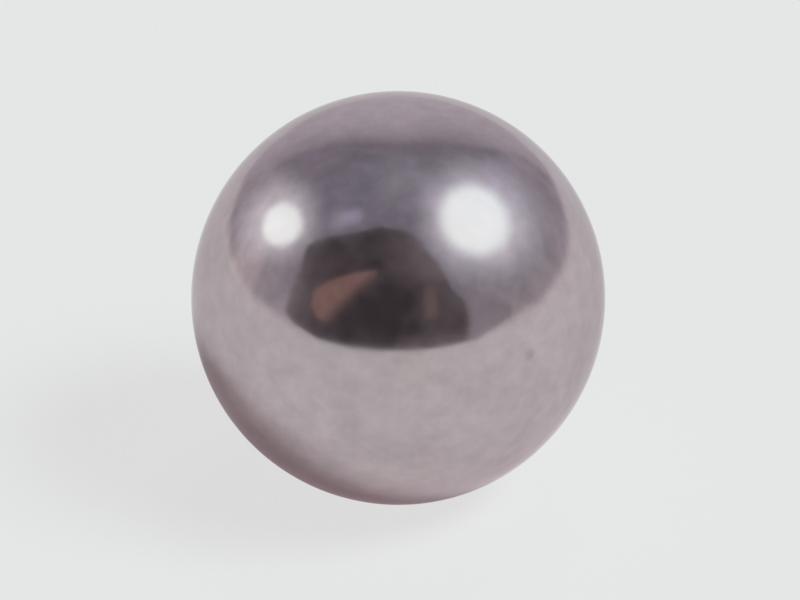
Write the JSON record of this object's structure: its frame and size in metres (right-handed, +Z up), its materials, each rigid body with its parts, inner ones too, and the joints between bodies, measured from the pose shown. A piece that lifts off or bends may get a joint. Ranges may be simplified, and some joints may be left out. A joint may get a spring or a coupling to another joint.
{
  "type": "steel ball",
  "caption": "Solid polished steel ball, a plain full sphere that rolls, seats in a cup or cone, or serves as a small weight.",
  "frame": {"origin": "centre of the ball", "axes": "+Z up through the ball's top pole; every axis through the centre is an axis of symmetry, so +X and +Y are free"},
  "size_m": [0.01, 0.01, 0.01],
  "materials": {
    "polished_steel": "polished"
  },
  "bodies": {
    "root": {"ball": "polished_steel"}
  },
  "joints": []
}
